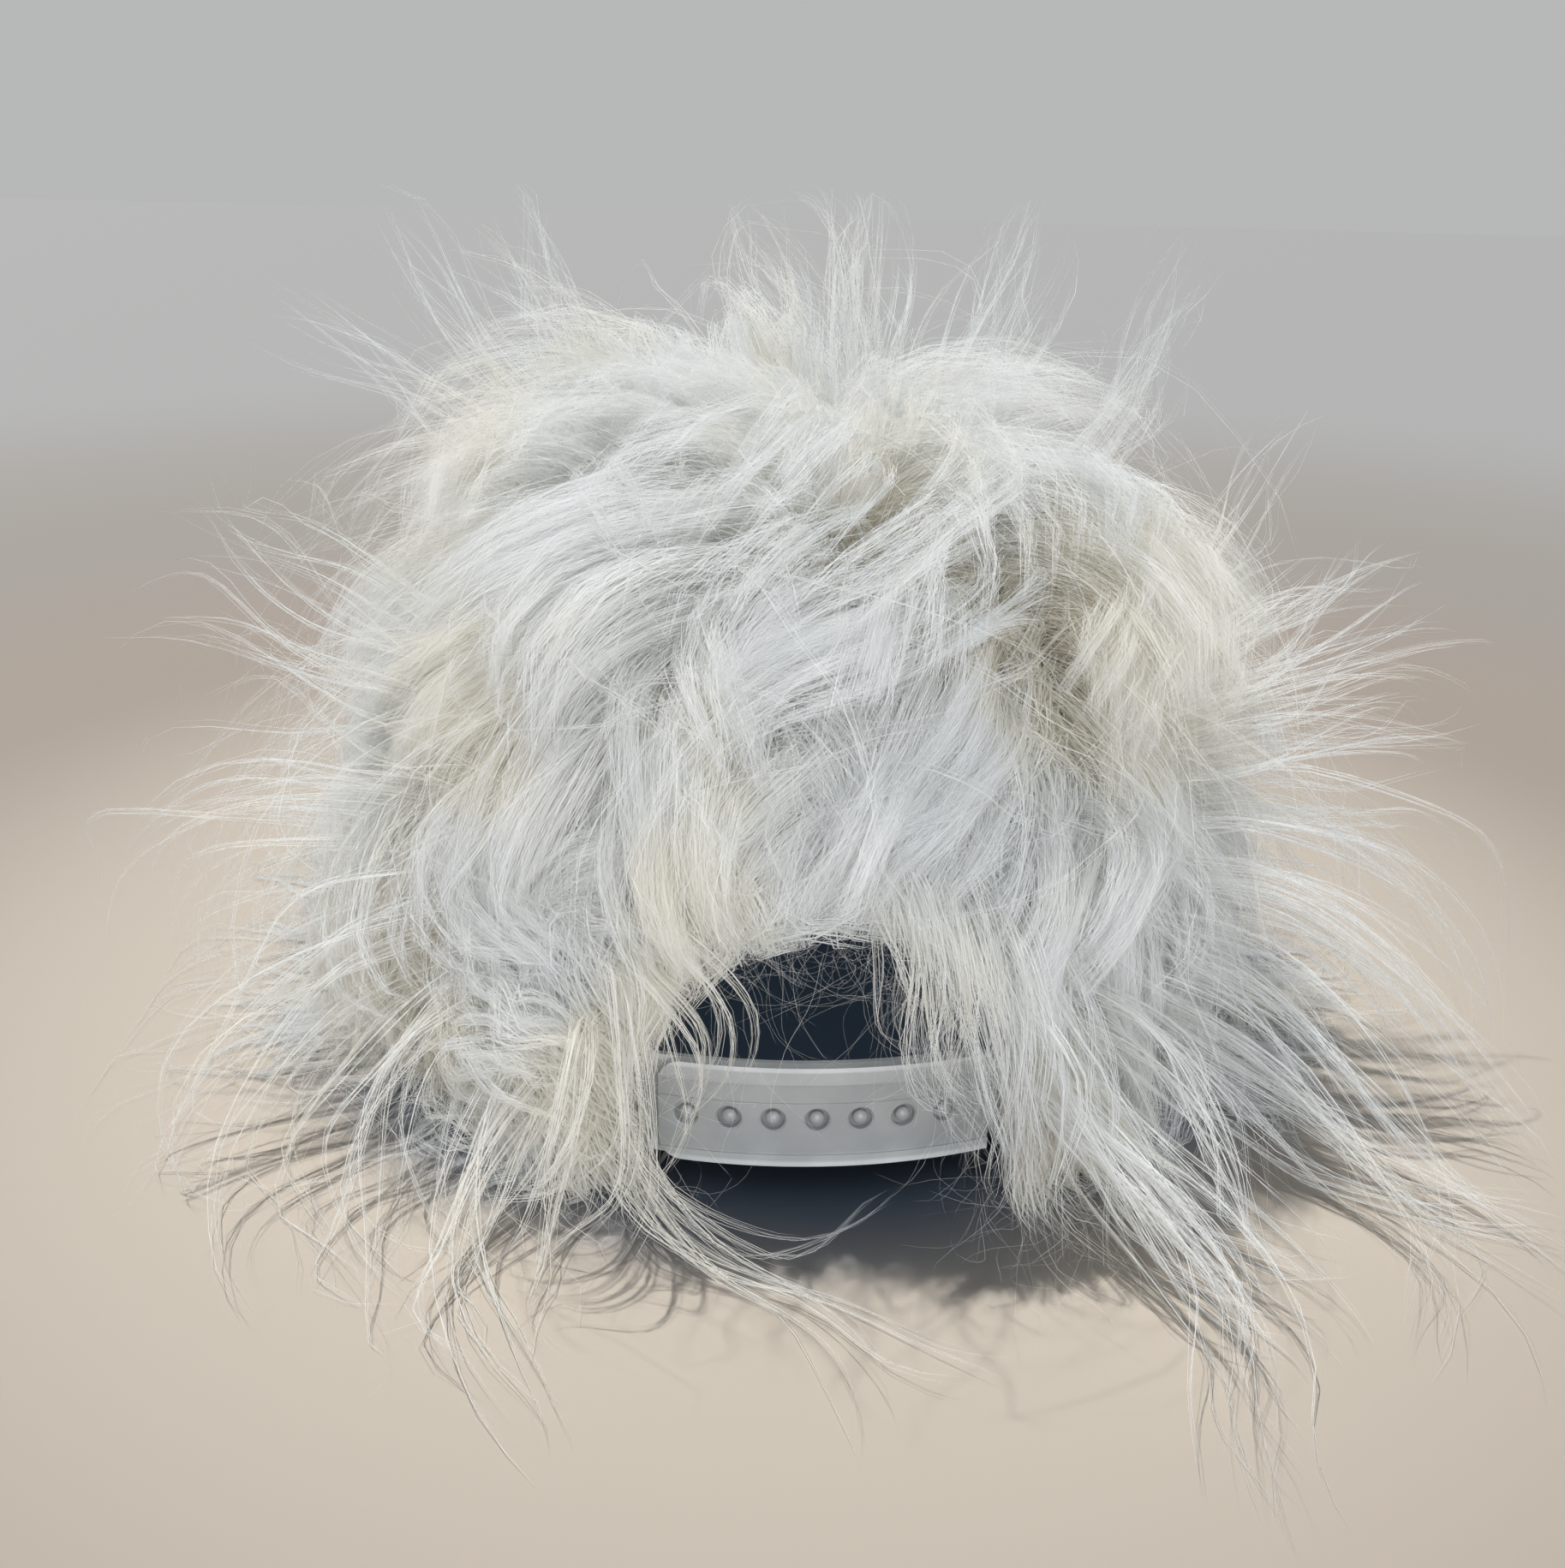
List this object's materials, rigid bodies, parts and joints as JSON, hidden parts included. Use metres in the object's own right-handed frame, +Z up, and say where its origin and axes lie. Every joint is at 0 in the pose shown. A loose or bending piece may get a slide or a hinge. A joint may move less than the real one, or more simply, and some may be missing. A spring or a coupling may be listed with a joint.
{
  "type": "furry snapback cap",
  "caption": "Shaggy long-pile faux-fur cap with a stiff brim, an arched rear opening and a snap strap of pegs in holes, lined in navy cloth.",
  "frame": {"origin": "middle of the head opening, on the plane that the cap stands on", "axes": "+Z up, +Y to the front of the cap and its brim, -Y to the rear opening and snap strap"},
  "size_m": [0.268, 0.3505, 0.172],
  "materials": {
    "long_pile": "matte",
    "navy_lining": "matte",
    "buckram": "matte",
    "navy_tape": "satin",
    "sweatband_cloth": "matte",
    "brim_cloth": "matte",
    "brim_board": "matte",
    "strap_plastic": "satin",
    "thread": "satin",
    "rivet_steel": "satin"
  },
  "bodies": {
    "crown": {"fur_front_right": "long_pile", "fur_side_right": "long_pile", "fur_rear_right": "long_pile", "fur_rear_left": "long_pile", "fur_side_left": "long_pile", "fur_front_left": "long_pile", "fur_trailing_lock": "long_pile", "lining_front_right": "navy_lining", "lining_side_right": "navy_lining", "lining_rear_right": "navy_lining", "lining_rear_left": "navy_lining", "lining_side_left": "navy_lining", "lining_front_left": "navy_lining", "buckram_front_right": "buckram", "buckram_front_left": "buckram", "seam_tape_front": "navy_tape", "seam_tape_front_right": "navy_tape", "seam_tape_rear_right": "navy_tape", "seam_tape_rear": "navy_tape", "seam_tape_rear_left": "navy_tape", "seam_tape_front_left": "navy_tape", "arch_binding": "navy_tape", "rim_binding_right": "navy_tape", "rim_binding_left": "navy_tape", "sweatband": "sweatband_cloth", "button_cap": "brim_cloth", "button_rivet": "rivet_steel", "button_back_plate": "rivet_steel", "brim_top_cover": "brim_cloth", "brim_board": "brim_board", "brim_under_cover": "brim_cloth", "brim_edge_binding": "brim_cloth", "hole_strap_tab": "strap_plastic", "hole_strap_tacks": "thread", "peg_strap_tab": "strap_plastic", "peg_strap_tacks": "thread"},
    "outer_strap": {"hole_strap": "strap_plastic"},
    "inner_strap": {"peg_strap": "strap_plastic"}
  },
  "joints": [
    {"name": "outer_strap_swing", "type": "hinge", "parent": "crown", "child": "outer_strap", "pos_m": [0.0345, -0.09188, 0.01678], "axis": [0, 0.1045, 0.9945], "range_deg": [0, 75]},
    {"name": "inner_strap_swing", "type": "hinge", "parent": "crown", "child": "inner_strap", "pos_m": [-0.0345, -0.09023, 0.0166], "axis": [0, 0.1045, 0.9945], "range_deg": [0, 70]}
  ]
}
